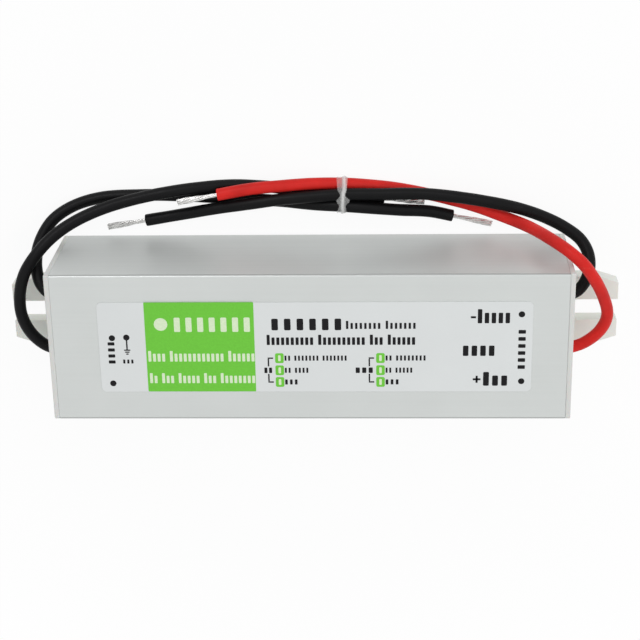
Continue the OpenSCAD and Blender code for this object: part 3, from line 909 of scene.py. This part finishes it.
# Each slot: colour, roughness, grains to the metre and metal
INSIDE = {
    "board": ((0.02, 0.12, 0.045), 0.4, 900, 0.0),
    "film": ((0.78, 0.74, 0.56), 0.6, 1500, 0.0),
    "fuse_body": ((0.16, 0.05, 0.02), 0.5, 1200, 0.0),
    "blue_lacquer": ((0.02, 0.09, 0.36), 0.25, 700, 0.0),
    "yellow_case": ((0.75, 0.45, 0.03), 0.4, 1200, 0.0),
    "ferrite": ((0.025, 0.025, 0.028), 0.7, 2600, 0.0),
    "copper_wire": ((0.50, 0.16, 0.06), 0.3, 1800, 1.0),
    "moulded_black": ((0.012, 0.012, 0.012), 0.55, 2400, 0.0),
    "can_sleeve": ((0.01, 0.015, 0.06), 0.3, 900, 0.0),
    "bobbin": ((0.68, 0.62, 0.46), 0.45, 1500, 0.0),
    "winding_tape": ((0.75, 0.58, 0.06), 0.35, 1100, 0.0),
    "spreader": ((0.55, 0.56, 0.57), 0.4, 1600, 1.0),
    "thermal_pad": ((0.17, 0.18, 0.21), 0.8, 2200, 0.0),
}


def plain_surface(name, colour, rough, grain_scale, metal):
    """Material with cloudy colour, uneven gloss and a fine surface grain."""
    material, shader = new_material(name)
    fine = grain(material, grain_scale, detail=6.0)
    tint = cloudy(material, colour, scale=120, dark=1 - TINT_SHIFT, light=1 + TINT_SHIFT, detail=4.0)
    feed(material, shader, {"Base Color": tint, "Metallic": metal})
    gloss(material, shader, fine, rough - GLOSS_SHIFT, rough + GLOSS_SHIFT)
    bump(material, shader, fine, strength=0.25, depth_mm=0.02)
    return material


def dress_inside():
    """Gives each solid in the tube the material of its slot."""
    made = {slot: plain_surface(slot, *look) for slot, look in INSIDE.items()}
    for subpart in frame["record"]["subparts"]:
        material = made.get(subpart["material_slot"])
        if material:
            mesh = NODES[subpart["node"]].data
            mesh.materials.clear()
            mesh.materials.append(material)


# Stage: pale floor, white surround and soft light, with its places and sizes in metres

FLOOR_HALF = 3.0
FLOOR_DROP = 0.0002
FLOOR_COLOUR = (0.90, 0.90, 0.90)
GLOW_NEAR, GLOW_FAR = 0.91, 1.0
BOUNCE = 0.8
FADE_FROM, FADE_TO = 0.07, 0.16
AMBIENT = 0.54
KEY_AT = Vector((0.25, 0.22, 0.82))
KEY_SIZE = 1.2
KEY_WATTS = 5.0
RIM_AT = Vector((-0.25, 0.72, 0.64))
RIM_SIZE = 0.3
RIM_WATTS = 2.1


def seen_directly(owner):
    """1 for rays from the camera and for reflected or refracted rays, 0 for light that falls on things."""
    rays = add(owner, "ShaderNodeLightPath").outputs
    seen = rays["Is Camera Ray"]
    for name in ("Is Glossy Ray", "Is Transmission Ray"):
        seen = add(owner, "ShaderNodeMath", {0: seen, 1: rays[name]}, operation="MAXIMUM").outputs[0]
    return seen


def mix_shaders(owner, share, first, second):
    inputs = {0: share, 1: first.outputs[0], 2: second.outputs[0]}
    return add(owner, "ShaderNodeMixShader", inputs).outputs[0]


def make_world():
    """White to look at, and a softer light on things."""
    world = bpy.data.worlds.new("studio")
    world.use_nodes = True
    nodes = world.node_tree.nodes
    light = nodes["Background"]
    feed(world, light, {"Color": WHITE, "Strength": AMBIENT})
    white = add(world, "ShaderNodeBackground", {"Color": WHITE})
    surface = mix_shaders(world, seen_directly(world), light, white)
    feed(world, nodes["World Output"], {"Surface": surface})
    bpy.context.scene.world = world


def floor_material():
    """Pale matt floor that keeps the shadow near the object and glows white away from it."""
    material, shader = new_material("pale_floor")
    nodes = material.node_tree.nodes
    nodes.remove(shader)
    matt = add(material, "ShaderNodeBsdfDiffuse", {"Color": rgba(FLOOR_COLOUR)})
    glow = add(material, "ShaderNodeEmission", {"Color": WHITE, "Strength": 1.0})
    away = add(material, "ShaderNodeVectorMath", {0: here(material)}, operation="LENGTH").outputs["Value"]
    level = spread(material, away, GLOW_NEAR, GLOW_FAR, FADE_FROM, FADE_TO)
    share = spread(material, seen_directly(material), BOUNCE, level, 0, 1)
    feed(material, nodes["Material Output"], {"Surface": mix_shaders(material, share, matt, glow)})
    return material


def make_floor():
    mesh = bpy.data.meshes.new("floor")
    quarters = ((-1, -1), (1, -1), (1, 1), (-1, 1))
    corners = [(x * FLOOR_HALF, y * FLOOR_HALF, -FLOOR_DROP) for x, y in quarters]
    mesh.from_pydata(corners, [], [(0, 1, 2, 3)])
    mesh.materials.append(floor_material())
    floor = bpy.data.objects.new("floor", mesh)
    bpy.context.scene.collection.objects.link(floor)


def make_lamp(name, at, size, watts):
    """Square lamp that faces the object."""
    data = bpy.data.lights.new(name, "AREA")
    data.size = size
    data.energy = watts
    lamp = bpy.data.objects.new(name, data)
    lamp.location = at
    lamp.rotation_mode = "QUATERNION"
    lamp.rotation_quaternion = (-at).to_track_quat("-Z", "Y")
    bpy.context.scene.collection.objects.link(lamp)
    return lamp


def make_lamps():
    """Key for the even light, and a rim lamp for the sheen on the leads and the bare ends."""
    make_lamp("key", KEY_AT, KEY_SIZE, KEY_WATTS).visible_glossy = False
    make_lamp("rim", RIM_AT, RIM_SIZE, RIM_WATTS).visible_diffuse = False


bpy.context.scene.view_settings.view_transform = "Standard"
make_camera()
black_pvc = insulation("black_pvc", BLACK_PVC, BLACK_SCUFF)
red_pvc = insulation("red_pvc", RED_PVC, RED_SCUFF)
make_leads(black_pvc, red_pvc, tinned(), make_tie(clear_strip()))
make_case(aluminium(), cap_plastic(), label_film())
make_print()
dress_inside()
make_world()
make_floor()
make_lamps()
